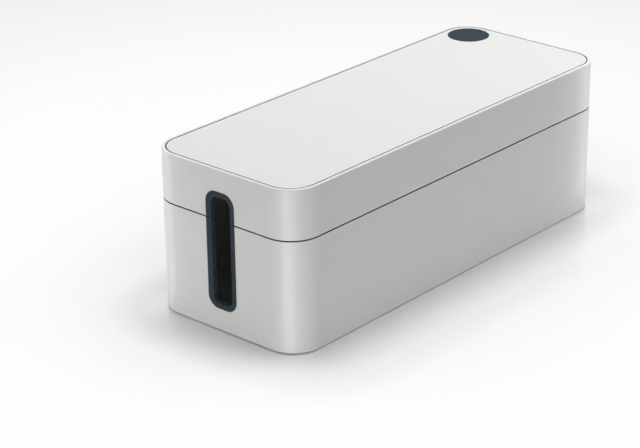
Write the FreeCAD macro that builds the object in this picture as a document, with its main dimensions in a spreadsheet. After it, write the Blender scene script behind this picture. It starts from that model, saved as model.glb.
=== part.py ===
import FreeCAD, Part
import math
import os
import re

import Sketcher

# Cable management box: a long tray with rounded corners and a lift-off lid. Both end walls have a tall
# slot for cables that runs from the tray up into the lid, so its soft grommet is made in two halves that
# meet at the seam. The lid is a frame with an inset top panel, which snaps in behind a ledge and leaves a
# narrow shadow gap all round. A soft cap closes a round cable hole in one corner of the panel. Four rubber
# feet are set in the underside.
#
# Frame: +X along the box, +Y across it, +Z up. The origin is on the table under the middle of the box.
# The round cap is at +X, +Y. All sizes are in millimetres.

SIZES = {
    # Whole box
    "box_length": 406.0,  # over the end walls
    "box_width": 156.0,  # over the long walls
    "box_height": 139.0,  # from the table to the lid's rim
    "corner_radius": 26.5,  # of the upright corners, outside
    "wall": 2.8,
    "floor_thickness": 2.8,
    "overrun": 5.0,  # how far a cut runs past what it cuts
    # Seam between tray and lid
    "lid_height": 42.5,  # from the middle of the seam to the rim
    "seam_gap": 1.0,
    "seam_round": 0.3,
    "tongue_thickness": 1.2,  # upright lip on the tray that the lid fits over
    "tongue_height": 4.5,
    "lid_play": 0.3,  # between the tongue and the lid's skirt
    "slot_relief": 2.0,  # the tongue stops this far outside each grommet
    # Tray
    "bottom_round": 1.2,
    "floor_round": 2.5,
    # Lid frame
    "rim_width": 3.0,
    "rim_round": 1.0,
    "rim_inner_round": 0.2,
    "ledge_width": 5.0,  # the ledge carries the top panel
    "ledge_thickness": 2.0,
    # Top panel
    "panel_gap": 1.0,  # shadow gap between rim and panel
    "panel_thickness": 2.4,
    "panel_drop": 0.05,  # the panel lies this far below the rim
    "panel_round": 0.2,
    "skirt_play": 0.4,  # between the panel's skirt and the ledge
    "skirt_thickness": 1.2,
    "skirt_height": 6.0,
    "rib_thickness": 1.2,
    "rib_height": 3.0,
    "hook_width": 10.0,
    "hook_slit": 1.0,
    "hook_root": 1.2,  # skirt left above each slit
    "hook_reach": 1.3,  # how far the nib stands out of the skirt
    "hook_play": 0.2,  # between the nib and the ledge
    "hook_tip": 0.5,  # the nib ends this far above the skirt's lower edge
    # Round cable hole and its cap
    "cap_diameter": 36.8,
    "cap_gap": 0.5,  # ring gap round the cap
    "cap_lip": 2.5,  # how far the cap's flange reaches past the hole's edge
    "cap_flange": 1.2,
    "cap_round": 0.4,
    "cap_skirt_thickness": 1.5,
    "cap_skirt_height": 8.0,
    "cap_play": 0.35,  # between the cap's skirt and the hole
    "cap_bead": 0.15,  # how far the two grip beads stand out
    "cap_bead_height": 1.0,
    "collar_thickness": 1.6,
    "collar_height": 6.0,
    # Cable slots and their grommets
    "slot_width": 20.0,  # clear opening inside the grommet
    "slot_low": 25.0,  # lower end of the clear opening, above the table
    "slot_top_inset": 23.5,  # upper end of the clear opening, below the rim
    "slot_radius": 5.5,
    "flange_width": 5.0,
    "flange_thickness": 1.2,
    "flange_proud": 0.6,  # how far the outer flange stands out of the end wall
    "flange_play": 0.15,  # between the outer flange and its recess
    "flange_round": 0.5,
    "channel_depth": 2.5,  # how far the wall reaches into the grommet
    "web_play": 0.1,  # between the grommet's web and the wall's edge
    "back_flange_thickness": 2.1,
    "mouth_round": 2.0,  # rounding of the opening's outer edge
    "lip_gap": 0.4,  # between the two grommet halves
    # Feet
    "foot_stand": 1.0,  # how far the feet hold the tray off the table
    "foot_recess": 1.0,
    "foot_diameter": 14.0,
    "foot_play": 0.2,
    "foot_round": 0.4,
    "foot_inset": 22.0,  # from the end wall and the long wall to the foot's middle
}

CROSS_RIBS = 5
LONG_RIBS = 2
TOUCHING = 1e-4  # two places closer than this are the same place

# Levels and distances that several pieces share, in the sizes above
SEAM = "(box_height - lid_height)"
TRAY_TOP = f"({SEAM} - seam_gap / 2)"
LID_BOTTOM = f"({SEAM} + seam_gap / 2)"
TONGUE_TOP = f"({TRAY_TOP} + tongue_height)"
FLOOR_TOP = "(foot_stand + floor_thickness)"
PANEL_TOP = "(box_height - panel_drop)"
PANEL_BOTTOM = f"({PANEL_TOP} - panel_thickness)"
LEDGE_BOTTOM = f"({PANEL_BOTTOM} - ledge_thickness)"
SKIRT_BOTTOM = f"({PANEL_BOTTOM} - skirt_height)"
SKIRT_INSET = "(rim_width + ledge_width + skirt_play)"
SLOT_TOP = "(box_height - slot_top_inset)"
HALF_RELIEF = "(slot_width / 2 + flange_width + slot_relief)"
FLANGE_RECESS = "(flange_thickness - flange_proud)"
HOLE = "(cap_diameter - 2 * cap_lip)"
HOLE_INSET = f"max(corner_radius; {SKIRT_INSET} + {HOLE} / 2 + collar_thickness)"
HOLE_X = f"(box_length / 2 - {HOLE_INSET})"
HOLE_Y = f"(box_width / 2 - {HOLE_INSET})"
BAY_LENGTH = f"((box_length - 2 * {SKIRT_INSET}) / {CROSS_RIBS + 1})"
BAY_WIDTH = f"((box_width - 2 * {SKIRT_INSET}) / {LONG_RIBS + 1})"

document = FreeCAD.newDocument("cable_box")
sheet = document.addObject("Spreadsheet::Sheet", "sizes")


def fill_sheet():
    """Writes every size beside its name and gives its cell that name as alias."""
    for row, (name, size) in enumerate(SIZES.items(), start=1):
        sheet.set(f"A{row}", name)
        sheet.set(f"B{row}", str(size))
        sheet.setAlias(f"B{row}", name)
    document.recompute()


def value(text):
    """The number that an expression of named sizes has in the sheet."""
    return float(sheet.evalExpression(text))


def bound(text):
    """The same expression as another object needs it, with the sheet's name before each size."""
    return re.sub(r"[a-z_]+", lambda word: f"sizes.{word[0]}" if word[0] in SIZES else word[0], text)


def start_body(label):
    """A new body, whose label names its file."""
    body = document.addObject("PartDesign::Body", label)
    body.Label = label
    return body


def place_body(body, x, y):
    """Moves a finished body to x, y."""
    body.setExpression("Placement.Base.x", bound(x))
    body.setExpression("Placement.Base.y", bound(y))


def origin_part(body, role):
    """One of a body's own origin planes or axes, such as XY_Plane or X_Axis."""
    return next(part for part in body.Origin.OriginFeatures if part.Role == role)


def start_sketch(body, name, role, offset):
    """An empty sketch on an origin plane of the body, moved along the plane's normal by offset."""
    sketch = body.newObject("Sketcher::SketchObject", f"{body.Name}_{name}")
    sketch.AttachmentSupport = [(origin_part(body, role), "")]
    sketch.MapMode = "FlatFace"
    sketch.setExpression("AttachmentOffset.Base.z", bound(offset))
    return sketch


def constrain(sketch, *constraint):
    """A constraint of a sketch that has no dimension."""
    sketch.addConstraint(Sketcher.Constraint(*constraint))


def dimension(sketch, kind, references, text):
    """A dimension of a sketch, bound to the sheet."""
    index = sketch.addConstraint(Sketcher.Constraint(kind, *references, value(text)))
    sketch.setExpression(f"Constraints[{index}]", bound(text))


def place_point(sketch, geometry, point, x, y):
    """Ties one point of a sketch to its distances from the origin, or to an axis where one is zero."""
    for kind, axis, text in (("DistanceX", -2, x), ("DistanceY", -1, y)):
        if text == "0":
            constrain(sketch, "PointOnObject", geometry, point, axis)
        else:
            dimension(sketch, kind, (-1, 1, geometry, point), text)


def draw_rounded(sketch, length, width, radius, low=None):
    """A rectangle with round corners, centred on the sketch's origin, or with its lower side at low."""
    corner = value(radius)
    along = value(length) / 2 - corner
    up = value(width) / 2 - corner
    middle = value(f"{low} + ({width}) / 2") if low else 0
    arcs = []
    for turn, (x, y) in enumerate(((along, -up), (along, up), (-along, up), (-along, -up))):
        circle = Part.Circle(FreeCAD.Vector(x, y + middle, 0), FreeCAD.Vector(0, 0, 1), corner)
        arcs.append(Part.ArcOfCircle(circle, (turn - 1) * math.pi / 2, turn * math.pi / 2))
    first = sketch.GeometryCount
    for arc, following in zip(arcs, arcs[1:] + arcs[:1]):
        sketch.addGeometry(arc)
        sketch.addGeometry(Part.LineSegment(arc.EndPoint, following.StartPoint))
    corners = [first + 2 * turn for turn in range(len(arcs))]
    right, top, left, bottom = (corner + 1 for corner in corners)
    for corner, following in zip(corners, corners[1:] + corners[:1]):
        constrain(sketch, "Tangent", corner, 2, corner + 1, 1)
        constrain(sketch, "Tangent", corner + 1, 2, following, 1)
    for corner in corners[1:]:
        constrain(sketch, "Equal", first, corner)
    constrain(sketch, "Horizontal", top)
    constrain(sketch, "Vertical", left)
    constrain(sketch, "Symmetric", bottom, 1, bottom, 2, -2)
    if low:
        constrain(sketch, "Vertical", right)
        dimension(sketch, "DistanceY", (-1, 1, bottom, 1), low)
    else:
        constrain(sketch, "Symmetric", right, 1, right, 2, -1)
    dimension(sketch, "Radius", (first,), radius)
    dimension(sketch, "DistanceX", (left, 1, right, 1), length)
    dimension(sketch, "DistanceY", (bottom, 1, top, 1), width)


def draw_inset_outline(sketch, inset):
    """The box's own outline seen from above, drawn in by inset."""
    length = f"box_length - 2 * {inset}"
    width = f"box_width - 2 * {inset}"
    draw_rounded(sketch, length, width, f"corner_radius - {inset}")


def draw_slot_outline(sketch, growth):
    """The clear opening of a cable slot seen along the box, made larger by growth on every side."""
    length = f"slot_width + 2 * {growth}"
    width = f"{SLOT_TOP} - slot_low + 2 * {growth}"
    draw_rounded(sketch, length, width, f"slot_radius + {growth}", low=f"(slot_low - {growth})")


def draw_circle(sketch, diameter, x="0", y="0"):
    """A circle whose middle is at x, y."""
    middle = FreeCAD.Vector(value(x), value(y), 0)
    circle = sketch.addGeometry(Part.Circle(middle, FreeCAD.Vector(0, 0, 1), value(diameter) / 2))
    dimension(sketch, "Diameter", (circle,), diameter)
    place_point(sketch, circle, 3, x, y)


def draw_polygon(sketch, corners):
    """A closed outline of straight lines. Each corner is a pair of expressions."""
    places = [FreeCAD.Vector(value(x), value(y), 0) for x, y in corners]
    first = sketch.GeometryCount
    for place, following in zip(places, places[1:] + places[:1]):
        sketch.addGeometry(Part.LineSegment(place, following))
    for number, (x, y) in enumerate(corners):
        following = (number + 1) % len(corners)
        constrain(sketch, "Coincident", first + number, 2, first + following, 1)
        place_point(sketch, first + number, 1, x, y)


def draw_rectangle(sketch, left, right, bottom, top):
    """A rectangle between two distances each way."""
    draw_polygon(sketch, [(left, bottom), (right, bottom), (right, top), (left, top)])


def add_pad(body, sketch, length, reverse=False, both_ways=False):
    """Adds the sketch's outline to the body, along the sketch's normal unless reversed."""
    pad = body.newObject("PartDesign::Pad", f"{sketch.Name}_pad")
    return finish_extrusion(pad, sketch, length, reverse, both_ways)


def add_pocket(body, sketch, length, reverse=False, both_ways=False):
    """Cuts the sketch's outline out of the body, against the sketch's normal unless reversed."""
    pocket = body.newObject("PartDesign::Pocket", f"{sketch.Name}_cut")
    return finish_extrusion(pocket, sketch, length, reverse, both_ways)


def finish_extrusion(feature, sketch, length, reverse, both_ways):
    """Sets what a pad and a pocket have in common."""
    feature.Profile = sketch
    feature.setExpression("Length", bound(length))
    feature.Reversed = reverse
    feature.SideType = "Symmetric" if both_ways else "One side"
    document.recompute()
    return feature


def zone(half_x, half_y, bottom, top):
    """A box about the upright axis, from which edges can be chosen."""
    x = value(half_x)
    y = value(half_y)
    box = FreeCAD.BoundBox(-x, -y, value(bottom), x, y, value(top))
    box.enlarge(TOUCHING)
    return box


def add_fillet(body, name, base, axis, level, radius, within=None):
    """Rounds the edges of the base feature that lie in one plane across an axis, and within a zone."""
    place_of_plane = value(level)
    names = []
    for number, edge in enumerate(base.Shape.Edges, start=1):
        middle = edge.valueAt((edge.FirstParameter + edge.LastParameter) / 2)
        places = [vertex.Point for vertex in edge.Vertexes] + [middle]
        in_plane = all(abs(getattr(place, axis) - place_of_plane) < TOUCHING for place in places)
        if in_plane and (within is None or all(within.isInside(place) for place in places)):
            names.append(f"Edge{number}")
    fillet = body.newObject("PartDesign::Fillet", f"{body.Name}_{name}")
    fillet.Base = (base, names)
    fillet.setExpression("Radius", bound(radius))
    document.recompute()
    return fillet


def add_row(body, name, features, spacing, count):
    """Repeats features in a row along the box."""
    row = body.newObject("PartDesign::LinearPattern", f"{body.Name}_{name}")
    row.Originals = features
    row.Direction = (origin_part(body, "X_Axis"), [""])
    row.setExpression("Length", bound(f"{spacing} * {count - 1}"))
    row.Occurrences = count
    body.Tip = row
    document.recompute()


def add_mirror(body, name, features, role):
    """Repeats features on the other side of one of the body's origin planes."""
    mirror = body.newObject("PartDesign::Mirrored", f"{body.Name}_{name}")
    mirror.Originals = features
    mirror.MirrorPlane = (origin_part(body, role), [""])
    body.Tip = mirror
    document.recompute()


def cut_cable_slots(body):
    """Notches both end walls for the grommets, and recesses the walls' outer faces for their flanges."""
    notch = start_sketch(body, "slot_notch", "YZ_Plane", "0")
    draw_slot_outline(notch, "channel_depth")
    add_pocket(body, notch, "box_length + 2 * overrun", both_ways=True)
    recess = start_sketch(body, "flange_recess", "YZ_Plane", "box_length / 2")
    draw_slot_outline(recess, "(flange_width + flange_play)")
    recess_cut = add_pocket(body, recess, FLANGE_RECESS)
    add_mirror(body, "other_recess", [recess_cut], "YZ_Plane")


def build_tray():
    """Lower shell: walls, floor, the tongue that locates the lid, slot notches and foot recesses."""
    body = start_body("base_tray")
    outline = start_sketch(body, "outline", "XY_Plane", "foot_stand")
    draw_inset_outline(outline, "0")
    block = add_pad(body, outline, f"{TRAY_TOP} - foot_stand")
    block = add_fillet(body, "bottom_edge", block, "z", "foot_stand", "bottom_round")
    add_fillet(body, "top_edge", block, "z", TRAY_TOP, "seam_round")
    tongue = start_sketch(body, "tongue", "XY_Plane", TRAY_TOP)
    draw_inset_outline(tongue, "(wall - tongue_thickness)")
    add_pad(body, tongue, "tongue_height")
    inside = start_sketch(body, "inside", "XY_Plane", TONGUE_TOP)
    draw_inset_outline(inside, "wall")
    hollow = add_pocket(body, inside, f"{TONGUE_TOP} - {FLOOR_TOP}")
    add_fillet(body, "floor_edge", hollow, "z", FLOOR_TOP, "floor_round")
    relief = start_sketch(body, "tongue_relief", "XY_Plane", TONGUE_TOP)
    half_length = "(box_length / 2 + overrun)"
    draw_rectangle(relief, f"-{half_length}", half_length, f"-{HALF_RELIEF}", HALF_RELIEF)
    add_pocket(body, relief, "tongue_height")
    cut_cable_slots(body)
    recesses = start_sketch(body, "foot_recesses", "XY_Plane", "foot_stand")
    for _, x, y in foot_places():
        draw_circle(recesses, "foot_diameter + 2 * foot_play", x, y)
    add_pocket(body, recesses, "foot_recess", reverse=True)
    return body


def build_lid_frame():
    """Upper shell without its panel: walls, rim, the panel's ledge and the rebate over the tongue."""
    body = start_body("lid_frame")
    outline = start_sketch(body, "outline", "XY_Plane", LID_BOTTOM)
    draw_inset_outline(outline, "0")
    block = add_pad(body, outline, f"box_height - {LID_BOTTOM}")
    block = add_fillet(body, "rim_edge", block, "z", "box_height", "rim_round")
    add_fillet(body, "bottom_edge", block, "z", LID_BOTTOM, "seam_round")
    seat = start_sketch(body, "panel_seat", "XY_Plane", "box_height")
    draw_inset_outline(seat, "rim_width")
    cut = add_pocket(body, seat, "panel_drop + panel_thickness")
    rim = zone("box_length / 2 - rim_width", "box_width / 2 - rim_width", "0", "box_height")
    add_fillet(body, "rim_inner_edge", cut, "z", "box_height", "rim_inner_round", within=rim)
    ledge = start_sketch(body, "ledge", "XY_Plane", PANEL_BOTTOM)
    draw_inset_outline(ledge, "(rim_width + ledge_width)")
    add_pocket(body, ledge, "ledge_thickness + overrun")
    inside = start_sketch(body, "inside", "XY_Plane", LID_BOTTOM)
    draw_inset_outline(inside, "wall")
    add_pocket(body, inside, f"{LEDGE_BOTTOM} - {LID_BOTTOM}", reverse=True)
    rebate = start_sketch(body, "rebate", "XY_Plane", LID_BOTTOM)
    draw_inset_outline(rebate, "(wall - tongue_thickness - lid_play)")
    add_pocket(body, rebate, f"{TONGUE_TOP} - {LID_BOTTOM}", reverse=True)
    fill_rebate_at_slots(body)
    cut_cable_slots(body)
    return body


def fill_rebate_at_slots(body):
    """Full wall again beside each slot, where the tray has no tongue and the grommet needs the wall."""
    stop = start_sketch(body, "rebate_stop", "XY_Plane", LID_BOTTOM)
    inner = "(box_length / 2 - wall)"
    outer = f"({inner} + tongue_thickness + lid_play)"
    half_width = f"({HALF_RELIEF} - lid_play)"
    draw_rectangle(stop, inner, outer, f"-{half_width}", half_width)
    stop_pad = add_pad(body, stop, f"{TONGUE_TOP} - {LID_BOTTOM}")
    add_mirror(body, "other_stop", [stop_pad], "YZ_Plane")


def build_top_panel():
    """Inset plate of the lid, with its skirt, snap hooks, ribs and the collar of the cable hole."""
    body = start_body("top_panel")
    outline = start_sketch(body, "outline", "XY_Plane", PANEL_BOTTOM)
    draw_inset_outline(outline, "(rim_width + panel_gap)")
    plate = add_pad(body, outline, "panel_thickness")
    add_fillet(body, "top_edge", plate, "z", PANEL_TOP, "panel_round")
    skirt = start_sketch(body, "skirt", "XY_Plane", PANEL_BOTTOM)
    draw_inset_outline(skirt, SKIRT_INSET)
    add_pad(body, skirt, "skirt_height", reverse=True)
    hollow = start_sketch(body, "skirt_hollow", "XY_Plane", SKIRT_BOTTOM)
    draw_inset_outline(hollow, f"({SKIRT_INSET} + skirt_thickness)")
    add_pocket(body, hollow, "skirt_height", reverse=True)
    first_hook = f"(-{BAY_LENGTH} * {CROSS_RIBS - 2} / 2)"
    hooks = add_hooks(body, "side_hook", "YZ_Plane", "box_width / 2", first_hook)
    add_row(body, "side_hooks", hooks, BAY_LENGTH, CROSS_RIBS - 1)
    between = f"(({BAY_WIDTH} / 2 + box_width / 2 - corner_radius) / 2)"
    hooks = add_hooks(body, "end_hook", "XZ_Plane", "box_length / 2", between)
    add_mirror(body, "end_hooks", hooks, "XZ_Plane")
    add_ribs(body)
    collar = start_sketch(body, "collar", "XY_Plane", PANEL_BOTTOM)
    draw_circle(collar, f"{HOLE} + 2 * collar_thickness", HOLE_X, HOLE_Y)
    add_pad(body, collar, "collar_height", reverse=True)
    hole = start_sketch(body, "hole", "XY_Plane", PANEL_TOP)
    draw_circle(hole, HOLE, HOLE_X, HOLE_Y)
    add_pocket(body, hole, "panel_thickness + collar_height + overrun")
    seat = start_sketch(body, "cap_seat", "XY_Plane", PANEL_TOP)
    draw_circle(seat, "cap_diameter + 2 * cap_gap", HOLE_X, HOLE_Y)
    add_pocket(body, seat, "cap_flange")
    return body


def add_hooks(body, name, role, half_span, offset):
    """Two snap hooks, one on each side of the panel: springy fingers of the skirt, with their nibs.

    Their middle is in the plane of the given role, moved by offset along its normal. Returns the nibs
    and the slits beside the fingers, for a row or a mirror.
    """
    nibs = start_sketch(body, f"{name}_nibs", role, offset)
    for side in ("", "-"):
        draw_polygon(nibs, nib_corners(half_span, side))
    nib_pad = add_pad(body, nibs, "hook_width", both_ways=True)
    across_x = role == "XZ_Plane"
    finger = f"(-{offset} - hook_width / 2)" if across_x else f"({offset} - hook_width / 2)"
    inner = f"({half_span} - {SKIRT_INSET} - skirt_thickness - hook_slit)"
    outer = f"({half_span} - {SKIRT_INSET} + hook_slit)"
    slits = start_sketch(body, f"{name}_slits", "XY_Plane", SKIRT_BOTTOM)
    for start in (f"{finger} - hook_slit", f"{finger} + hook_width"):
        for near, far in ((inner, outer), (f"-{outer}", f"-{inner}")):
            if across_x:
                draw_rectangle(slits, near, far, start, f"{start} + hook_slit")
            else:
                draw_rectangle(slits, start, f"{start} + hook_slit", near, far)
    slit_cut = add_pocket(body, slits, "skirt_height - hook_root", reverse=True)
    return [nib_pad, slit_cut]


def nib_corners(half_span, side):
    """Corners of a nib's cross-section: flat on top, where it catches the ledge, and tapered below."""
    face = f"({half_span} - {SKIRT_INSET})"
    root = f"({face} - skirt_thickness / 2)"
    reach = f"({face} + hook_reach)"
    tip = f"({SKIRT_BOTTOM} + hook_tip)"
    top = f"({LEDGE_BOTTOM} - hook_play)"
    corners = ((root, top), (root, tip), (face, tip), (reach, top))
    return [(f"{side}{across}", level) for across, level in corners]


def add_ribs(body):
    """Cross ribs in a row and two long ribs under the panel, from skirt to skirt."""
    half_rib = "rib_thickness / 2"
    half_width = f"(box_width / 2 - {SKIRT_INSET} - skirt_thickness / 2)"
    half_length = f"(box_length / 2 - {SKIRT_INSET} - skirt_thickness / 2)"
    first = f"(-{BAY_LENGTH} * {CROSS_RIBS - 1} / 2)"
    cross = start_sketch(body, "cross_rib", "XY_Plane", PANEL_BOTTOM)
    draw_rectangle(cross, f"{first} - {half_rib}", f"{first} + {half_rib}", f"-{half_width}", half_width)
    cross_pad = add_pad(body, cross, "rib_height", reverse=True)
    add_row(body, "cross_ribs", [cross_pad], BAY_LENGTH, CROSS_RIBS)
    side = f"({BAY_WIDTH} / 2)"
    along = start_sketch(body, "long_rib", "XY_Plane", PANEL_BOTTOM)
    draw_rectangle(along, f"-{half_length}", half_length, f"{side} - {half_rib}", f"{side} + {half_rib}")
    long_pad = add_pad(body, along, "rib_height", reverse=True)
    add_mirror(body, "other_long_rib", [long_pad], "XZ_Plane")


def build_port_cap():
    """Soft cap of the cable hole: a flange flush with the panel, and a hollow plug with grip beads."""
    body = start_body("port_cap")
    flange = "(cap_diameter / 2)"
    plug = f"({HOLE} / 2 - cap_play)"
    bead = f"({plug} + cap_bead)"
    bore = f"({plug} - cap_skirt_thickness)"
    under = f"({PANEL_TOP} - cap_flange)"
    lower = f"({under} - cap_skirt_height)"
    corners = [("0", PANEL_TOP), ("0", under), (bore, under), (bore, lower), (plug, lower)]
    for level in ("cap_skirt_height / 4", "cap_skirt_height * 5 / 8"):
        middle = f"({lower} + {level})"
        corners.append((plug, f"{middle} - cap_bead_height / 2"))
        corners.append((bead, middle))
        corners.append((plug, f"{middle} + cap_bead_height / 2"))
    corners += [(plug, under), (flange, under), (flange, PANEL_TOP)]
    profile = start_sketch(body, "profile", "XZ_Plane", "0")
    draw_polygon(profile, corners)
    turned = body.newObject("PartDesign::Revolution", "port_cap_turned")
    turned.Profile = profile
    turned.ReferenceAxis = (profile, ["V_Axis"])
    document.recompute()
    add_fillet(body, "top_edge", turned, "z", PANEL_TOP, "cap_round")
    place_body(body, HOLE_X, HOLE_Y)
    return body


def build_grommet(label, is_upper, is_turned):
    """One half of a slot's soft grommet: two flanges joined by a web, which grip the end wall's edge."""
    body = start_body(label)
    front_face = "(-box_length / 2 - flange_proud)"
    wall_outside = f"(-box_length / 2 + {FLANGE_RECESS})"
    wall_inside = "(-box_length / 2 + wall)"
    back_face = f"({wall_inside} + back_flange_thickness)"
    front = start_sketch(body, "front_flange", "YZ_Plane", front_face)
    draw_slot_outline(front, "flange_width")
    plate = add_pad(body, front, "flange_thickness")
    add_fillet(body, "front_edge", plate, "x", front_face, "flange_round")
    web = start_sketch(body, "web", "YZ_Plane", wall_outside)
    draw_slot_outline(web, "(channel_depth - web_play)")
    add_pad(body, web, f"{wall_inside} - {wall_outside}")
    back = start_sketch(body, "back_flange", "YZ_Plane", wall_inside)
    draw_slot_outline(back, "flange_width")
    add_pad(body, back, "back_flange_thickness")
    opening = start_sketch(body, "opening", "YZ_Plane", back_face)
    draw_slot_outline(opening, "0")
    cut = add_pocket(body, opening, f"{back_face} - {front_face} + overrun")
    mouth = zone("box_length / 2 + flange_proud", "slot_width / 2", "slot_low", SLOT_TOP)
    add_fillet(body, "mouth_edge", cut, "x", front_face, "mouth_round", within=mouth)
    seam = f"({SEAM} + lip_gap / 2)" if is_upper else f"({SEAM} - lip_gap / 2)"
    half = start_sketch(body, "other_half", "XY_Plane", seam)
    outer = f"({front_face} - overrun)"
    inner = f"({back_face} + overrun)"
    half_width = "(slot_width / 2 + flange_width + overrun)"
    draw_rectangle(half, outer, inner, f"-{half_width}", half_width)
    add_pocket(body, half, "box_height", reverse=not is_upper)
    if is_turned:
        half_turn = FreeCAD.Rotation(FreeCAD.Vector(0, 0, 1), 180)
        body.Placement = FreeCAD.Placement(FreeCAD.Vector(), half_turn)
    return body


def foot_places():
    """Name and middle of each foot."""
    x = "(box_length / 2 - foot_inset)"
    y = "(box_width / 2 - foot_inset)"
    return (
        ("front_left", f"-{x}", f"-{y}"),
        ("front_right", x, f"-{y}"),
        ("rear_left", f"-{x}", y),
        ("rear_right", x, y),
    )


def build_foot(label, x, y):
    """Round rubber foot, set in a recess of the tray's underside."""
    body = start_body(label)
    disc = start_sketch(body, "disc", "XY_Plane", "0")
    draw_circle(disc, "foot_diameter")
    pad = add_pad(body, disc, "foot_stand + foot_recess")
    add_fillet(body, "tread_edge", pad, "z", "0", "foot_round")
    place_body(body, x, y)
    return body


def check(bodies):
    """Stops if anything in the document failed, or a piece is empty, broken or in several lumps."""
    for item in document.Objects:
        if "Invalid" in item.State or "Error" in item.State:
            raise RuntimeError(f"{item.Label} failed: {item.State}")
    for body in bodies:
        shape = body.Shape
        if shape.isNull() or not shape.isValid() or len(shape.Solids) != 1:
            raise RuntimeError(f"{body.Label} is not one sound solid")


fill_sheet()
pieces = [build_tray(), build_lid_frame(), build_top_panel(), build_port_cap()]
for end_name, end_is_turned in (("left", False), ("right", True)):
    pieces.append(build_grommet(f"{end_name}_lower_grommet", False, end_is_turned))
    pieces.append(build_grommet(f"{end_name}_upper_grommet", True, end_is_turned))
for place_name, foot_x, foot_y in foot_places():
    pieces.append(build_foot(f"foot_{place_name}", foot_x, foot_y))
document.recompute()
check(pieces)
os.makedirs("parts", exist_ok=True)
for piece in pieces:
    piece.Shape.exportStep(os.path.join("parts", f"{piece.Label}.step"))
    print(f"{piece.Label}: {piece.Shape.Volume:.0f} mm3")
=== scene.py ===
"""Cable management box: a long lidded box of pale moulded plastic that hides a power strip.

The tray and the lid meet at a fine seam.  A soft dark liner runs round the cable slot in each short
side, in two halves that part with the lid, and a soft round plug closes the cable outlet in one
corner of the top.
"""

import logging
import math
from dataclasses import dataclass, field
from enum import Enum

import bmesh
import bpy
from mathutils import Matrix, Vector


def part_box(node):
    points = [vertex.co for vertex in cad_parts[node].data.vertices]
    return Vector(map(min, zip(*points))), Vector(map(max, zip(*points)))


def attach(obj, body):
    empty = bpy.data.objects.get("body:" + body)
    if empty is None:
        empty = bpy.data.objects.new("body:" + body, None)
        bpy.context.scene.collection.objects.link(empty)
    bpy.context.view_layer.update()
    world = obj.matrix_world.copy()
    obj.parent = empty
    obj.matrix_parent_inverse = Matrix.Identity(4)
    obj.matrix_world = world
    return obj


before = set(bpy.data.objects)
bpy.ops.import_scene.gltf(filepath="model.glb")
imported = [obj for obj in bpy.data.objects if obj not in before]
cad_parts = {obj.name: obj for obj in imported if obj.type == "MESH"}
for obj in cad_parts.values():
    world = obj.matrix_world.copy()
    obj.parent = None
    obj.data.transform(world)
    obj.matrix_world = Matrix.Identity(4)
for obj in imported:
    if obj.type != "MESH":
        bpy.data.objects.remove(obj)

log = logging.getLogger("cable_box")

Colour = tuple[float, float, float]
Point = tuple[float, float, float]
Socket = bpy.types.NodeSocket

IMAGE_WIDTH = 640
IMAGE_HEIGHT = 448
SENSOR_WIDTH = 36.0  # millimetres
NUMBER_SOCKET = "NodeSocketFloat"  # kind of every input and output of the shared effects
MIX_FIRST, MIX_SECOND, MIX_RESULT = 6, 7, 2  # colour sockets of a Mix node
TINY_AREA = 1e-9  # keeps a division from meeting zero
SHELL_PARTS = ("base_tray", "lid_frame")
OUTER_PARTS = (*SHELL_PARTS, "top_panel", "port_cap")
WHITE = (1.0, 1.0, 1.0, 1.0)
STRIP_SIZE = (0.006, 0.60)
MOTTLE_RANGE = (0.3, 0.7)  # noise between which the colour goes from its darkest to its palest


# ----------------------------------------------------------------------------------------------
# Small helpers for shader trees
# ----------------------------------------------------------------------------------------------


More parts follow.
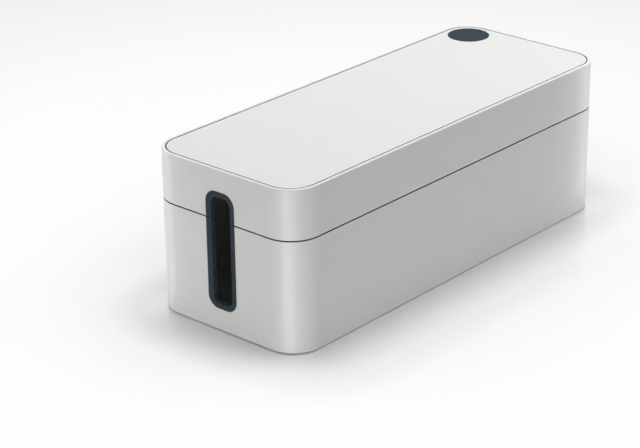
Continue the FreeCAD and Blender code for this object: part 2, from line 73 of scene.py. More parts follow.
@dataclass
class Tree:
    """A shader node tree that nodes are added to and wired in.

    Args:
        nodes: The tree that receives the nodes.
        column: Horizontal place of the next node, so that the tree reads from left to right.
    """

    nodes: bpy.types.NodeTree
    column: int = 0

    def add(self, kind: str, **settings: object) -> bpy.types.Node:
        """Adds one node.

        Args:
            kind: Blender's type name of the node.
            settings: Attributes to set on it.

        Returns:
            The new node.
        """
        node = self.nodes.nodes.new(kind)
        node.location = (self.column, 0)
        self.column += 180
        for name, value in settings.items():
            setattr(node, name, value)
        return node

    def join(self, start: Socket, end: Socket) -> None:
        """Wires one socket to another."""
        self.nodes.links.new(start, end)

    def feed(self, value: object, end: Socket) -> None:
        """Wires a socket to an input, or sets a plain number or vector on it."""
        if isinstance(value, Socket):
            self.join(value, end)
        else:
            end.default_value = value

    def math(self, operation: str, first: object, second: object = 0.0) -> Socket:
        """Adds one sum of two values.

        Args:
            operation: Blender's name of the sum, such as MULTIPLY.
            first: Socket or number on the left.
            second: Socket or number on the right.

        Returns:
            The socket that holds the result.
        """
        node = self.add("ShaderNodeMath", operation=operation)
        self.feed(first, node.inputs[0])
        self.feed(second, node.inputs[1])
        return node.outputs[0]

    def noise(self, place: object, scale: object, detail: float = 2.0, rough: float = 0.5) -> Socket:
        """Adds a noise texture.

        Args:
            place: Socket with the coordinates.
            scale: Features to the metre, as a number or a socket.
            detail: Octaves.
            rough: How strong the finer octaves are.

        Returns:
            The noise value.
        """
        node = self.add("ShaderNodeTexNoise")
        self.feed(place, node.inputs["Vector"])
        self.feed(scale, node.inputs["Scale"])
        node.inputs["Detail"].default_value = detail
        node.inputs["Roughness"].default_value = rough
        return node.outputs[0]

    def remap(self, value: object, low: object, high: object, to_low: object, to_high: object) -> Socket:
        """Maps a value from one range to another, clamped.

        Args:
            value: The socket to map.
            low: Start of the range it comes from.
            high: End of the range it comes from.
            to_low: Start of the range it goes to.
            to_high: End of the range it goes to.

        Returns:
            The mapped value.
        """
        node = self.add("ShaderNodeMapRange")
        self.feed(value, node.inputs["Value"])
        for name, number in (("From Min", low), ("From Max", high), ("To Min", to_low), ("To Max", to_high)):
            self.feed(number, node.inputs[name])
        return node.outputs[0]

    def mix_colour(self, factor: object, first: object, second: object) -> Socket:
        """Mixes two colours.

        Args:
            factor: Share of the second colour.
            first: Colour at 0.
            second: Colour at 1.

        Returns:
            The mixed colour.
        """
        node = self.add("ShaderNodeMix", data_type="RGBA")
        self.feed(factor, node.inputs[0])
        self.feed(first, node.inputs[MIX_FIRST])
        self.feed(second, node.inputs[MIX_SECOND])
        return node.outputs[MIX_RESULT]


@dataclass(frozen=True)
class Port:
    """A named input of a shared effect.

    Args:
        name: Name of its socket.
        value: Number that it holds where a finish sets none.
    """

    name: str
    value: float


class Effect:
    """A shader effect that several finishes share, kept as one node group."""

    title = "Effect"
    takes: tuple[Port, ...] = ()
    gives: tuple[str, ...] = ()

    def __init__(self) -> None:
        """Makes the node group with its named sockets and fills it."""
        self.group = bpy.data.node_groups.new(self.title, "ShaderNodeTree")
        for port in self.takes:
            socket = self.group.interface.new_socket(port.name, in_out="INPUT", socket_type=NUMBER_SOCKET)
            socket.default_value = port.value
        for name in self.gives:
            self.group.interface.new_socket(name, in_out="OUTPUT", socket_type=NUMBER_SOCKET)
        tree = Tree(self.group)
        start = tree.add("NodeGroupInput")
        end_values = self.fill(tree, start)
        end = tree.add("NodeGroupOutput")
        for name, value in end_values.items():
            tree.feed(value, end.inputs[name])

    def fill(self, tree: Tree, start: bpy.types.Node) -> dict[str, Socket]:
        """Adds the effect's nodes.

        Args:
            tree: The group's tree.
            start: The node that holds the group's inputs.

        Returns:
            The socket for each named output.
        """
        raise NotImplementedError

    def place(self, tree: Tree, **values: float) -> bpy.types.Node:
        """Places the effect in a material.

        Args:
            tree: The material's tree.
            values: Numbers for the named inputs, with _ for a space.

        Returns:
            The group node.
        """
        node = tree.add("ShaderNodeGroup", node_tree=self.group)
        for name, value in values.items():
            tree.feed(value, node.inputs[name.replace("_", " ").capitalize()])
        return node


class MouldedSkin(Effect):
    """Fine spark-eroded texture of a mould with a little flow unevenness over it."""

    title = "Moulded skin"
    takes = (Port("Grain", 2600.0), Port("Ripple", 140.0), Port("Ripple share", 0.3))
    gives = ("Height", "Mottle")
    mottle_scale = 38.0  # patches to the metre

    def fill(self, tree: Tree, start: bpy.types.Node) -> dict[str, Socket]:
        """Mixes fine grain with broad ripple."""
        place = tree.add("ShaderNodeTexCoord").outputs["Object"]
        grain = tree.noise(place, start.outputs["Grain"], 2.0, 0.6)
        ripple = tree.noise(place, start.outputs["Ripple"], 1.0, 0.4)
        raised = tree.math("MULTIPLY", ripple, start.outputs["Ripple share"])
        height = tree.math("ADD", grain, raised)
        mottle = tree.noise(place, self.mottle_scale, 3.0, 0.55)
        return {"Height": height, "Mottle": mottle}


class EdgeWear(Effect):
    """Mask of the outer edges, where handling polishes and scuffs a moulding, and where the finishes also
    paint a highlight.
    """

    title = "Edge wear"
    takes = (Port("Radius", 0.0012), Port("Breakup", 260.0))
    gives = ("Mask",)
    bend = (0.985, 0.80)  # likeness of the two normals where wear begins and where it is full
    patch_range = (0.35, 0.75)  # noise at which the wear begins and is full

    def fill(self, tree: Tree, start: bpy.types.Node) -> dict[str, Socket]:
        """Compares the rounded normal with the true one and breaks the mask up."""
        rounded = tree.add("ShaderNodeBevel", samples=4)
        tree.join(start.outputs["Radius"], rounded.inputs["Radius"])
        true = tree.add("ShaderNodeNewGeometry")
        across = tree.add("ShaderNodeVectorMath", operation="DOT_PRODUCT")
        tree.join(rounded.outputs["Normal"], across.inputs[0])
        tree.join(true.outputs["Normal"], across.inputs[1])
        bent = tree.remap(across.outputs["Value"], *self.bend, 0.0, 1.0)
        place = tree.add("ShaderNodeTexCoord").outputs["Object"]
        patches = tree.noise(place, start.outputs["Breakup"], 3.0, 0.6)
        share = tree.remap(patches, *self.patch_range, 0.0, 1.0)
        return {"Mask": tree.math("MULTIPLY", bent, share)}


class Handling(Effect):
    """Roughness change that fingers and cloths leave: soft smears and very fine rub lines."""

    title = "Handling"
    takes = (Port("Smear", 16.0), Port("Rub", 900.0))
    gives = ("Change",)
    rub_stretch = (0.06, 1.0, 1.0)  # rub lines run along the box
    rub_turn = 0.35  # radians off its long side
    rub_range = (0.60, 0.80)  # noise at which a line begins and is full
    rub_strength = 0.35

    def fill(self, tree: Tree, start: bpy.types.Node) -> dict[str, Socket]:
        """Adds stretched noise for rub lines to broad smears."""
        place = tree.add("ShaderNodeTexCoord").outputs["Object"]
        smear = tree.noise(place, start.outputs["Smear"], 2.0, 0.5)
        stretched = tree.add("ShaderNodeMapping")
        tree.join(place, stretched.inputs["Vector"])
        stretched.inputs["Scale"].default_value = self.rub_stretch
        stretched.inputs["Rotation"].default_value = (0.0, 0.0, self.rub_turn)
        rub = tree.noise(stretched.outputs[0], start.outputs["Rub"], 1.0, 0.5)
        fine = tree.remap(rub, *self.rub_range, 0.0, self.rub_strength)
        broad = tree.math("SUBTRACT", smear, 0.5)
        return {"Change": tree.math("ADD", broad, fine)}


class PaintedCreviceShade(Effect):
    """Painted shade: darkens the colour in narrow seams and inner corners by how closed in they are,
    standing in for the shadow there.
    """

    title = "Crevice shade"
    takes = (Port("Reach", 0.002), Port("Open", 0.95), Port("Shut", 0.45))
    gives = ("Shade",)

    def fill(self, tree: Tree, start: bpy.types.Node) -> dict[str, Socket]:
        """Turns the openness of each place into shade."""
        around = tree.add("ShaderNodeAmbientOcclusion", samples=12)
        tree.join(start.outputs["Reach"], around.inputs["Distance"])
        shade = tree.remap(around.outputs["AO"], start.outputs["Open"], start.outputs["Shut"], 0.0, 1.0)
        return {"Shade": shade}


@dataclass(frozen=True)
class Effects:
    """The shared effects, each made once.

    Args:
        skin: Mould texture.
        wear: Edge mask, for wear and for a painted edge highlight.
        handling: Roughness change from hands.
        painted_crevice_shade: Painted shade in seams and corners.
    """

    skin: MouldedSkin = field(default_factory=MouldedSkin)
    wear: EdgeWear = field(default_factory=EdgeWear)
    handling: Handling = field(default_factory=Handling)
    painted_crevice_shade: PaintedCreviceShade = field(default_factory=PaintedCreviceShade)


# ----------------------------------------------------------------------------------------------
# Finishes
# ----------------------------------------------------------------------------------------------


@dataclass(frozen=True)
class Finish:
    """How one kind of plastic or rubber looks.

    Args:
        title: Name of the material.
        colour: Base colour, linear.
        worn_and_highlight: Colour where edges are rubbed, paler than the body both from wear and as a
            painted highlight, linear.
        mottle: Strength of the uneven colour.
        wear: Strength of the edge wear and of the painted edge highlight.
        roughness: Middle roughness.
        smear: How far handling moves the roughness.
        polish: How far rubbing lowers the roughness.
        grain: Grain features to the metre.
        ripple: Flow ripples to the metre.
        ripple_share: Height of the ripple against the grain.
        depth: Height of the texture in metres.
        gloss: Index of refraction of the skin.
        painted_shade_colour: Colour painted in seams and inner corners as their shade, linear.
        painted_shade_reach: How far the painted shade of seams and corners reaches, in metres.
    """

    title: str
    colour: Colour
    worn_and_highlight: Colour
    mottle: float = 0.02
    wear: float = 0.3
    roughness: float = 0.42
    smear: float = 0.06
    polish: float = 0.10
    grain: float = 2600.0
    ripple: float = 140.0
    ripple_share: float = 0.3
    depth: float = 0.00001
    gloss: float = 1.5
    painted_shade_colour: Colour = (0.10, 0.10, 0.10)
    painted_shade_reach: float = 0.002

    def make(self, effects: Effects) -> bpy.types.Material:
        """Builds the material.

        Args:
            effects: The shared effects.

        Returns:
            The new material.
        """
        material = bpy.data.materials.new(self.title)
        material.use_nodes = True
        material.node_tree.nodes.clear()
        tree = Tree(material.node_tree)
        skin = effects.skin.place(tree, grain=self.grain, ripple=self.ripple, ripple_share=self.ripple_share)
        wear = effects.wear.place(tree)
        handling = effects.handling.place(tree)
        shade = tree.remap(skin.outputs["Mottle"], *MOTTLE_RANGE, 1.0 - self.mottle, 1.0 + self.mottle)
        toned = tree.add("ShaderNodeMix", data_type="RGBA", blend_type="MULTIPLY")
        toned.inputs[0].default_value = 1.0
        toned.inputs[MIX_FIRST].default_value = (*self.colour, 1.0)
        tree.join(shade, toned.inputs[MIX_SECOND])
        # Rubbed edges turn paler and smoother: partly wear, partly a painted highlight along the edges
        rubbed = tree.math("MULTIPLY", wear.outputs["Mask"], self.wear)
        clean = tree.mix_colour(rubbed, toned.outputs[MIX_RESULT], (*self.worn_and_highlight, 1.0))
        # Painted shade: seams and inner corners take the shade colour by how closed in they are
        painted_crevice_shade = effects.painted_crevice_shade.place(tree, reach=self.painted_shade_reach)
        colour = tree.mix_colour(painted_crevice_shade.outputs["Shade"], clean, (*self.painted_shade_colour, 1.0))
        change = tree.math("MULTIPLY", handling.outputs["Change"], self.smear)
        polished = tree.math("MULTIPLY", rubbed, -self.polish)
        rough = tree.math("ADD", tree.math("ADD", change, self.roughness), polished)
        bump = tree.add("ShaderNodeBump")
        bump.inputs["Strength"].default_value = 1.0
        bump.inputs["Distance"].default_value = self.depth
        tree.join(skin.outputs["Height"], bump.inputs["Height"])
        shader = tree.add("ShaderNodeBsdfPrincipled")
        tree.join(colour, shader.inputs["Base Color"])
        tree.join(rough, shader.inputs["Roughness"])
        tree.join(bump.outputs["Normal"], shader.inputs["Normal"])
        shader.inputs["IOR"].default_value = self.gloss
        end = tree.add("ShaderNodeOutputMaterial")
        tree.join(shader.outputs[0], end.inputs["Surface"])
        return material


PALE_SHELL = Finish(
    title="Pale satin shell",
    colour=(0.70, 0.70, 0.69),
    worn_and_highlight=(0.78, 0.78, 0.77),
    mottle=0.006,
    wear=0.25,
    roughness=0.38,
    smear=0.05,
    # painted shade in seams and corners
    painted_shade_colour=(0.12, 0.12, 0.12),
    painted_shade_reach=0.0022,
)
SOFT_LINER = Finish(
    title="Soft slate liner",
    colour=(0.034, 0.050, 0.064),
    worn_and_highlight=(0.055, 0.074, 0.092),
    mottle=0.06,
    wear=0.30,
    roughness=0.55,
    smear=0.08,
    grain=3200.0,
    depth=0.00002,
    gloss=1.15,
    # painted shade in seams and corners, near black
    painted_shade_colour=(0.004, 0.005, 0.006),
)
SOFT_CAP = Finish(
    title="Soft slate cap",
    colour=(0.030, 0.044, 0.058),
    worn_and_highlight=(0.040, 0.057, 0.074),
    mottle=0.06,
    wear=0.15,
    roughness=0.55,
    smear=0.08,
    grain=3200.0,
    depth=0.00002,
    gloss=1.10,
    # painted shade in seams and corners, near black
    painted_shade_colour=(0.004, 0.005, 0.006),
)
FOOT_RUBBER = Finish(
    title="Grey foot rubber",
    colour=(0.14, 0.14, 0.145),
    worn_and_highlight=(0.25, 0.25, 0.25),
    mottle=0.10,
    wear=0.5,
    roughness=0.75,
    smear=0.10,
    grain=1800.0,
    ripple_share=0.6,
    depth=0.00005,
)


# ----------------------------------------------------------------------------------------------
# The box
# ----------------------------------------------------------------------------------------------


class Body(Enum):
    """The bodies that mould marks ride on."""

    TRAY = "tray"
    LID = "lid"


@dataclass(frozen=True)
class FinishShelf:
    """Materials of the finishes, each made when it is first asked for.

    Args:
        effects: The shared effects.
        made: Materials made so far, by title.
    """

    effects: Effects = field(default_factory=Effects)
    made: dict[str, bpy.types.Material] = field(default_factory=dict)

    def take(self, finish: Finish) -> bpy.types.Material:
        """Gives the material of a finish.

        Args:
            finish: The finish.

        Returns:
            Its material.
        """
        if finish.title not in self.made:
            self.made[finish.title] = finish.make(self.effects)
        return self.made[finish.title]


@dataclass(frozen=True)
class TurnedMark:
    """A small round mark that the mould leaves, turned about an upright axis.

    Args:
        outline: Radius and height of each ring, from the rim to the middle.
        sides: Number of sides of each ring.
    """

    outline: tuple[tuple[float, float], ...]
    sides: int = 40

    def add(self, work: bmesh.types.BMesh, place: Point) -> None:
        """Adds one mark.

        Args:
            work: Mesh that receives it.
            place: The mark's middle, on the surface that carries it.
        """
        x, y, z = place
        turns = [2.0 * math.pi * side / self.sides for side in range(self.sides)]
        rings = [
            [
                work.verts.new((x + radius * math.cos(turn), y + radius * math.sin(turn), z + rise))
                for turn in turns
            ]
            for radius, rise in self.outline
        ]
        for outer, inner in zip(rings, rings[1:]):
            for side in range(self.sides):
                after = (side + 1) % self.sides
                work.faces.new((outer[side], outer[after], inner[after], inner[side]))
        work.faces.new(rings[-1])


def spread(count: int, step: float) -> list[float]:
    """Places of a row of things about zero.

    Args:
        count: How many.
        step: Distance from one to the next.

    Returns:
        Their places.
    """
    return [step * (number - (count - 1) / 2.0) for number in range(count)]


@dataclass(frozen=True)
class PinField:
    """Rows of equal ejector pins, each of which leaves a faint round mark.

    Args:
        radius: Radius of a pin.
        rise: How far a mark stands up, below 0 where it stands down.
        along: Pins in each row along the box.
        along_step: Distance between the pins of a row.
        across: Rows of pins.
        across_step: Distance between the rows.
        bevel: Height of a mark's bevel, as a share of its rise.
    """

    radius: float
    rise: float
    along: int
    along_step: float
    across: int
    across_step: float
    bevel: float = 0.6

    def mark(self) -> TurnedMark:
        """Gives the mark of one pin, which begins inside the wall."""
        bevel = self.rise * self.bevel
        crown = self.radius - abs(bevel)
        return TurnedMark(((self.radius, -self.rise), (self.radius, bevel), (crown, self.rise)))

    def places(self, height: float) -> list[Point]:
        """Gives the middle of each pin.

        Args:
            height: Height of the wall that carries the marks.

        Returns:
            The middles, row after row.
        """
        rows = spread(self.across, self.across_step)
        return [(x, y, height) for x in spread(self.along, self.along_step) for y in rows]


@dataclass(frozen=True)
class SubAssembly:
    """Pieces of the box that belong together.

    Args:
        shelf: The finishes.
    """

    shelf: FinishShelf

    title = "part"
    body = Body.TRAY  # what the marks that an assembly makes ride on
    sharp_angle = 30.0  # degrees

    def dress(self, node: str, finish: Finish) -> None:
        """Gives a solid of the frame its material.

        Args:
            node: Name of the solid.
            finish: Its finish.
        """
        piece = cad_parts[node]
        piece.data.materials.clear()
        piece.data.materials.append(self.shelf.take(finish))
        log.info("%s: %s in %s", self.title, node, finish.title.lower())

    def place_marks(self, name: str, mark: TurnedMark, places: list[Point], finish: Finish) -> None:
        """Makes one piece of equal mould marks, which rides on the assembly's body.

        Args:
            name: Name of the piece.
            mark: The mark.
            places: Middle of each mark.
            finish: Finish of the wall that carries them.
        """
        work = bmesh.new()
        for place in places:
            mark.add(work, place)
        bmesh.ops.recalc_face_normals(work, faces=work.faces)
        mesh = bpy.data.meshes.new(name)
        work.to_mesh(mesh)
        work.free()
        mesh.shade_smooth()
        mesh.set_sharp_from_angle(angle=math.radians(self.sharp_angle))
        mesh.materials.append(self.shelf.take(finish))
        piece = bpy.data.objects.new(name, mesh)
        bpy.context.scene.collection.objects.link(piece)
        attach(piece, self.body.value)
        log.info("%s: %s, %d marks", self.title, name, len(places))

    def build(self) -> None:
        """Builds and dresses the pieces."""
        raise NotImplementedError


@dataclass(frozen=True)
class Tray(SubAssembly):
    """Lower shell, with the marks of the mould's gate and of its ejector pins.

    Args:
        thickness: Thickness of the tray's floor above the underside.
        pins: Ejector pins of the floor inside.
        gate_ring: Radius of the ring round the gate.
        gate_nub: Radius of the cut-off gate.
        gate_drop: How far the gate's rest hangs down.
        gate_sunk: How far the ring begins inside the wall.
    """

    thickness: float = 0.0028
    pins: PinField = PinField(0.003, 0.00012, along=5, along_step=0.076, across=2, across_step=0.094)
    gate_ring: float = 0.006
    gate_nub: float = 0.0014
    gate_drop: float = 0.0004
    gate_sunk: float = 0.0001

    title = "tray"
    body = Body.TRAY

    def build(self) -> None:
        """Dresses the shell and adds the marks of the mould."""
        self.dress("base_tray", PALE_SHELL)
        low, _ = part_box("base_tray")
        places = self.pins.places(low[2] + self.thickness)
        self.place_marks("tray_pin_marks", self.pins.mark(), places, PALE_SHELL)
        self.place_marks("tray_gate_mark", self.gate(), [(0.0, 0.0, low[2])], PALE_SHELL)

    def gate(self) -> TurnedMark:
        """Gives the rest of the gate with its ring, from the ring's foot to the tip of the nub."""
        ring, nub, drop = self.gate_ring, self.gate_nub, self.gate_drop
        crown, foot = ring * 0.9, ring * 0.8
        return TurnedMark(
            (
                (ring, self.gate_sunk),
                (ring, -drop * 0.30),
                (crown, -drop * 0.45),
                (foot, -drop * 0.15),
                (nub * 1.5, -drop * 0.15),
                (nub, -drop * 0.90),
                (nub * 0.85, -drop),
            )
        )


@dataclass(frozen=True)
class Lid(SubAssembly):
    """Upper shell with its inset panel, and the marks of the ejector pins under the panel.

    Args:
        plate: Thickness of the panel.
        pins: Ejector pins under the panel, between its ribs.
    """

    plate: float = 0.0024
    pins: PinField = PinField(0.0025, -0.00012, along=4, along_step=0.0649, across=3, across_step=0.0464)

    title = "lid"
    body = Body.LID

    def build(self) -> None:
        """Dresses the frame and the panel and adds the marks of the mould."""
        self.dress("lid_frame", PALE_SHELL)
        self.dress("top_panel", PALE_SHELL)
        _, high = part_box("top_panel")
        places = self.pins.places(high[2] - self.plate)
        self.place_marks("panel_pin_marks", self.pins.mark(), places, PALE_SHELL)


@dataclass(frozen=True)
class SlotLiners(SubAssembly):
    """Soft liners of the cable slots, in halves that part at the seam.

    Args:
        sides: Ends of the box that have a slot.
        levels: Halves of each liner.
    """

    sides: tuple[str, ...] = ("left", "right")
    levels: tuple[str, ...] = ("lower", "upper")

    title = "slot liners"

    def build(self) -> None:
        """Dresses each half."""
        for side in self.sides:
            for level in self.levels:
                self.dress(f"{side}_{level}_grommet", SOFT_LINER)


@dataclass(frozen=True)
class OutletPlug(SubAssembly):
    """Soft plug that closes the round cable outlet of the top.

    Args:
        node: The plug's solid.
    """

    node: str = "port_cap"

    title = "outlet plug"

    def build(self) -> None:
        """Dresses the plug."""
        self.dress(self.node, SOFT_CAP)


@dataclass(frozen=True)
class Feet(SubAssembly):
    """Rubber feet set in the underside of the tray.

    Args:
        ends: Front and rear pair.
        sides: Sides of each pair.
    """

    ends: tuple[str, ...] = ("front", "rear")
    sides: tuple[str, ...] = ("left", "right")

    title = "feet"

    def build(self) -> None:
        """Dresses each foot."""
        for end in self.ends:
            for side in self.sides:
                self.dress(f"foot_{end}_{side}", FOOT_RUBBER)


# ----------------------------------------------------------------------------------------------
# Camera, floor and light
# ----------------------------------------------------------------------------------------------


@dataclass(frozen=True)
class Viewpoint:
    """The place that the photograph was taken from.

    Args:
        place: Camera position.
        turn: Degrees from +Y towards +X.
        dip: Degrees below the horizon.
        focal: Focal length in pixels.
        middle: Pixel that the axis of view meets.
        nearest: Distance at which the camera begins to see.
        furthest: Distance at which it ends.
    """

    place: Point = (-1.286717, -1.073538, 0.762766)
    turn: float = 50.1803
    dip: float = 22.9974
    focal: float = 2136.42
    middle: tuple[float, float] = (388.185, 195.993)
    nearest: float = 0.05
    furthest: float = 60.0

    def make(self) -> None:
        """Makes the camera and gives it to the scene."""
        lens = bpy.data.cameras.new("camera")
        lens.sensor_fit = "HORIZONTAL"
        lens.sensor_width = SENSOR_WIDTH
        lens.lens = self.focal * SENSOR_WIDTH / IMAGE_WIDTH
        lens.shift_x = (IMAGE_WIDTH / 2 - self.middle[0]) / IMAGE_WIDTH
        lens.shift_y = (self.middle[1] - IMAGE_HEIGHT / 2) / IMAGE_WIDTH
        lens.clip_start = self.nearest
        lens.clip_end = self.furthest
        camera = bpy.data.objects.new("camera", lens)
        bpy.context.scene.collection.objects.link(camera)
        turn, dip = math.radians(self.turn), math.radians(self.dip)
        look = Vector((math.cos(dip) * math.sin(turn), math.cos(dip) * math.cos(turn), -math.sin(dip)))
        camera.rotation_mode = "QUATERNION"
        camera.rotation_quaternion = look.to_track_quat("-Z", "Y")
        camera.location = self.place
        bpy.context.scene.camera = camera


class LampKind(Enum):
    """Kinds of studio lamp."""

    SOFTBOX = "AREA"
    SUN = "SUN"


@dataclass(frozen=True)
class Lamp:
    """One studio lamp.

    Args:
        title: Name of the lamp.
        kind: Softbox or distant sun.
        place: Where it stands.
        target: What it points at.
        power: Watts of a softbox, or strength of a sun.
        size: Width and height of a softbox, in metres.
        spread: Angular size of a sun, in degrees.
        only: The solids that it lights, or the floor, if it doesn't light everything.
    """

    title: str
    kind: LampKind
    place: Point
    target: Point
    power: float
    size: tuple[float, float] = (1.0, 1.0)
    spread: float = 24.0
    only: tuple[str, ...] = ()

    def make(self) -> None:
        """Makes the lamp."""
        data = bpy.data.lights.new(self.title, self.kind.value)
        data.energy = self.power
        if self.kind is LampKind.SOFTBOX:
            data.shape = "RECTANGLE"
            data.size, data.size_y = self.size
        else:
            data.angle = math.radians(self.spread)
            # The floor stops the rays that bounce towards a sun below it, so shadow rays alone look for it
            data.cycles.use_multiple_importance_sampling = False
        lamp = bpy.data.objects.new(self.title, data)
        bpy.context.scene.collection.objects.link(lamp)
        lamp.location = self.place
        lamp.rotation_mode = "QUATERNION"
        lamp.rotation_quaternion = (Vector(self.target) - Vector(self.place)).to_track_quat("-Z", "Y")
        lamp.visible_camera = False
        if self.only:
            lit = bpy.data.collections.new(f"{self.title} lights")
            for node in self.only:
                lit.objects.link(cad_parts.get(node) or bpy.data.objects[node])
            lamp.light_linking.receiver_collection = lit


@dataclass(frozen=True)
class Rise:
    """One point of a curve over the distance from the box.

    Args:
        away: Distance in metres.
        value: Value there.
    """

    away: float
    value: float


@dataclass(frozen=True)
class FloorCurve:
    """A value on the floor that changes with the distance from the box.

    Args:
        side: Points of the curve beside a long wall, nearest first.
        end: Points of the curve beside the near end wall.
    """

    side: tuple[Rise, ...]
    end: tuple[Rise, ...]

    def stretch(self, tree: Tree, away: Socket, rises: tuple[Rise, ...]) -> Socket:
        """Adds one curve of straight stretches.

        Args:
            tree: Tree of the floor's material.
            away: Distance from the box.
            rises: Points of the curve.

        Returns:
            The curve's value.
        """
        total = rises[0].value
        for near, far in zip(rises, rises[1:]):
            step = tree.remap(away, near.away, far.away, 0.0, far.value - near.value)
            total = tree.math("ADD", total, step)
        return total

    def add(self, tree: Tree, away: Socket, share: Socket) -> Socket:
        """Adds the value to the floor's tree.

        Args:
            tree: Tree of the floor's material.
            away: Distance from the box.
            share: 0 beside a long wall, 1 beside the near end wall.

        Returns:
            The value.
        """
        side, end = [self.stretch(tree, away, rises) for rises in (self.side, self.end)]
        return tree.remap(share, 0.0, 1.0, side, end)


@dataclass(frozen=True)
class Studio:
    """White floor, white surroundings and soft light, with a painted shadow on the floor round the box.

    Args:
        floor_reach: Half the side of the floor.
        floor_colour: Colour of the floor.
        sky_reach: How far off the box still hides the surroundings from the floor.
        sky_least: Open share of the surroundings at which the floor's painted glow begins where it is seen.
        painted_glow: The floor's painted glow where the surroundings are all open; it fades towards the box,
            which paints a soft shadow there.
        sheen: Share of the reflection in what the camera sees of the floor.
        sheen_angles: Layer weights between which the reflection comes in as the view gets lower.
        sheen_roughness: How blurred the reflection is.
        footprint: Half the length and width of the box.
        footprint_corner: Radius of its upright corners.
        lamps: The studio lamps.
    """

    floor_reach: float = 12.0
    floor_colour: float = 0.70
    sky_reach: float = 0.40
    sky_least: float = 0.525
    painted_glow: float = 0.374
    sheen: FloorCurve = FloorCurve(
        side=(
            Rise(0.0, 0.58),
            Rise(0.006, 0.50),
            Rise(0.012, 0.40),
            Rise(0.02, 0.30),
            Rise(0.03, 0.21),
            Rise(0.06, 0.13),
            Rise(0.085, 0.0),
        ),
        end=(Rise(0.0, 0.38), Rise(0.006, 0.30), Rise(0.012, 0.21), Rise(0.02, 0.09), Rise(0.03, 0.0)),
    )
    sheen_angles: tuple[float, float] = (0.25, 0.48)
    sheen_roughness: float = 0.10
    footprint: tuple[float, float] = (0.203, 0.078)
    footprint_corner: float = 0.0265
    lamps: tuple[Lamp, ...] = (
        Lamp("overhead softbox", LampKind.SOFTBOX, (0.0, 0.0, 1.80), (0.0, 0.0, 0.0), 29.0, (1.0, 1.0)),
        Lamp(
            "far end softbox",
            LampKind.SOFTBOX,
            (0.33, 0.0, 0.65),
            (0.33, 0.0, 0.0),
            0.40,
            (0.3, 0.3),
            only=OUTER_PARTS,
        ),
        Lamp(
            "low end softbox",
            LampKind.SOFTBOX,
            (0.75, 0.10, 0.62),
            (0.05, 0.0, 0.14),
            0.74,
            (0.5, 0.5),
            only=OUTER_PARTS,
        ),
        Lamp("front softbox", LampKind.SOFTBOX, (-1.00, -0.90, 1.70), (0.0, 0.0, 0.07), 0.67, (0.8, 0.8)),
        Lamp("left softbox", LampKind.SOFTBOX, (-1.40, 0.10, 1.30), (0.0, 0.0, 0.07), 1.01, (0.8, 0.8)),
        Lamp(
            "floor light",
            LampKind.SUN,
            (0.406, -0.406, 0.819),
            (0.0, 0.0, 0.0),
            0.40,
            spread=50.0,
            only=("floor",),
        ),
        Lamp("corner light", LampKind.SUN, (-0.789, -0.474, -0.391), (0.0, 0.0, 0.0), 0.70),
        Lamp("corner light to the end", LampKind.SUN, (-0.853, -0.229, -0.469), (0.0, 0.0, 0.0), 0.53),
        Lamp("corner light to the side", LampKind.SUN, (-0.568, -0.676, -0.469), (0.0, 0.0, 0.0), 0.31),
        Lamp(
            "left rim strip",
            LampKind.SOFTBOX,
            (-0.213, 0.078, 0.07),
            (0.287, -0.788, 0.07),
            0.0305,
            STRIP_SIZE,
            only=SHELL_PARTS,
        ),
        Lamp(
            "right rim strip",
            LampKind.SOFTBOX,
            (0.203, -0.093, 0.07),
            (-0.663, 0.407, 0.07),
            0.050,
            STRIP_SIZE,
            only=SHELL_PARTS,
        ),
    )

    def seen(self, tree: Tree) -> Socket:
        """Adds the test for rays that look at the surroundings.

        Args:
            tree: Tree of the material or the world.

        Returns:
            1 for camera, glossy and transmission rays, otherwise 0.
        """
        path = tree.add("ShaderNodeLightPath")
        either = tree.math("MAXIMUM", path.outputs["Is Camera Ray"], path.outputs["Is Glossy Ray"])
        return tree.math("MAXIMUM", either, path.outputs["Is Transmission Ray"])

    def past_walls(self, tree: Tree, place: bpy.types.Node) -> list[Socket]:
        """Adds how far a point of the floor lies past the straight stretch of the walls.

        Args:
            tree: Tree of the floor's material.
            place: Node that holds the point's X, Y and Z.

        Returns:
            The distances along X and along Y, below 0 beside the stretch.
        """
        return [
            tree.math("SUBTRACT", tree.math("ABSOLUTE", place.outputs[axis]), half - self.footprint_corner)
            for axis, half in zip("XY", self.footprint)
        ]

    def distance(self, tree: Tree, past: list[Socket]) -> Socket:
        """Adds the distance on the floor from the foot of the box, below 0 under it.

        Args:
            tree: Tree of the floor's material.
            past: Distances past the straight walls.

        Returns:
            The distance in metres.
        """
        squares = [tree.math("POWER", tree.math("MAXIMUM", side, 0.0), 2.0) for side in past]
        outside = tree.math("SQRT", tree.math("ADD", *squares))
        inside = tree.math("MINIMUM", tree.math("MAXIMUM", *past), 0.0)
        return tree.math("SUBTRACT", tree.math("ADD", outside, inside), self.footprint_corner)

    def end_share(self, tree: Tree, place: bpy.types.Node, past: list[Socket]) -> Socket:
        """Adds the share of the near end wall in what lies next to a point of the floor.

        Args:
            tree: Tree of the floor's material.
            place: Node that holds the point's X, Y and Z.
            past: Distances past the straight walls.

        Returns:
            0 beside a long wall and round the far end, 1 beside the near end wall, and between them out
            from a corner.
        """
        along, across = [tree.math("POWER", tree.math("MAXIMUM", side, 0.0), 2.0) for side in past]
        both = tree.math("MAXIMUM", tree.math("ADD", along, across), TINY_AREA)
        near_end = tree.math("LESS_THAN", place.outputs["X"], 0.0)
        return tree.math("MULTIPLY", tree.math("DIVIDE", along, both), near_end)

    def make_world(self) -> None:
        """Makes surroundings that look white and give no light of their own."""
        world = bpy.data.worlds.new("white surroundings")
        bpy.context.scene.world = world
        world.use_nodes = True
        world.node_tree.nodes.clear()
        tree = Tree(world.node_tree)
        seen = self.seen(tree)
        back = tree.add("ShaderNodeBackground")
        tree.join(seen, back.inputs["Strength"])
        back.inputs["Color"].default_value = WHITE
        end = tree.add("ShaderNodeOutputWorld")
        tree.join(back.outputs[0], end.inputs["Surface"])

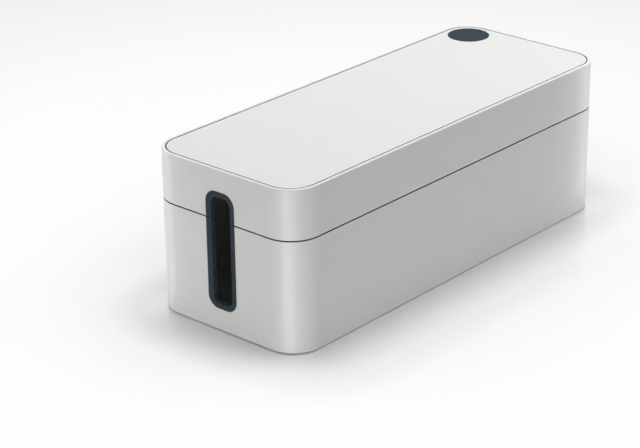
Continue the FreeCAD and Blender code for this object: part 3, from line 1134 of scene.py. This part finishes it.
    def make_floor(self) -> None:
        """Makes the pale table that the box stands on. The table mirrors the foot of the box faintly and
        glows less near the box where it is seen, as a painted shadow.
        """
        reach = self.floor_reach
        mesh = bpy.data.meshes.new("floor")
        mesh.from_pydata(
            [(-reach, -reach, 0.0), (reach, -reach, 0.0), (reach, reach, 0.0), (-reach, reach, 0.0)],
            [],
            [(0, 1, 2, 3)],
        )
        floor = bpy.data.objects.new("floor", mesh)
        bpy.context.scene.collection.objects.link(floor)
        floor.visible_shadow = False
        material = bpy.data.materials.new("White table")
        material.use_nodes = True
        material.node_tree.nodes.clear()
        tree = Tree(material.node_tree)
        seen = self.seen(tree)
        place = tree.add("ShaderNodeSeparateXYZ")
        tree.join(tree.add("ShaderNodeTexCoord").outputs["Object"], place.inputs[0])
        past = self.past_walls(tree, place)
        away = self.distance(tree, past)
        share = self.end_share(tree, place, past)
        # Painted shadow: the floor glows where it is seen by how open it is to the surroundings, so it
        # darkens towards the box and under it
        sky = tree.add("ShaderNodeAmbientOcclusion", samples=16)
        sky.inputs["Distance"].default_value = self.sky_reach
        painted_glow = tree.remap(sky.outputs["AO"], self.sky_least, 1.0, 0.0, self.painted_glow)
        glow = tree.add("ShaderNodeEmission")
        tree.join(tree.math("MULTIPLY", seen, painted_glow), glow.inputs["Strength"])
        matt = tree.add("ShaderNodeBsdfDiffuse")
        matt.inputs["Color"].default_value = (*(self.floor_colour,) * 3, 1.0)
        lit = tree.add("ShaderNodeAddShader")
        tree.join(matt.outputs[0], lit.inputs[0])
        tree.join(glow.outputs[0], lit.inputs[1])
        gloss = tree.add("ShaderNodeBsdfGlossy")
        gloss.inputs["Roughness"].default_value = self.sheen_roughness
        gloss.inputs["Color"].default_value = WHITE
        # The camera alone sees the reflection, so that it throws no light on the walls, and at a low
        # angle only, as on any table that isn't polished
        camera = tree.add("ShaderNodeLightPath").outputs["Is Camera Ray"]
        facing = tree.add("ShaderNodeLayerWeight").outputs["Facing"]
        low = tree.remap(facing, *self.sheen_angles, 0.0, 1.0)
        both = tree.add("ShaderNodeMixShader")
        glance = tree.math("MULTIPLY", camera, low)
        tree.join(tree.math("MULTIPLY", self.sheen.add(tree, away, share), glance), both.inputs[0])
        tree.join(lit.outputs[0], both.inputs[1])
        tree.join(gloss.outputs[0], both.inputs[2])
        # From below the table is open, so that the underside of the box can be looked at
        from_below = tree.add("ShaderNodeMixShader")
        tree.join(tree.add("ShaderNodeNewGeometry").outputs["Backfacing"], from_below.inputs[0])
        tree.join(both.outputs[0], from_below.inputs[1])
        tree.join(tree.add("ShaderNodeBsdfTransparent").outputs[0], from_below.inputs[2])
        end = tree.add("ShaderNodeOutputMaterial")
        tree.join(from_below.outputs[0], end.inputs["Surface"])
        mesh.materials.append(material)

    def make(self) -> None:
        """Makes the surroundings, the floor and the lamps."""
        self.make_world()
        self.make_floor()
        for lamp in self.lamps:
            lamp.make()
        bpy.context.scene.view_settings.view_transform = "Standard"


def main() -> None:
    """Builds the scene piece by piece and reports each."""
    logging.basicConfig(level=logging.INFO, format="%(message)s")
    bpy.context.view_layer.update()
    Viewpoint().make()
    Studio().make()
    shelf = FinishShelf()
    for assembly in (Tray(shelf), Lid(shelf), SlotLiners(shelf), OutletPlug(shelf), Feet(shelf)):
        assembly.build()


if __name__ == "__main__":
    main()
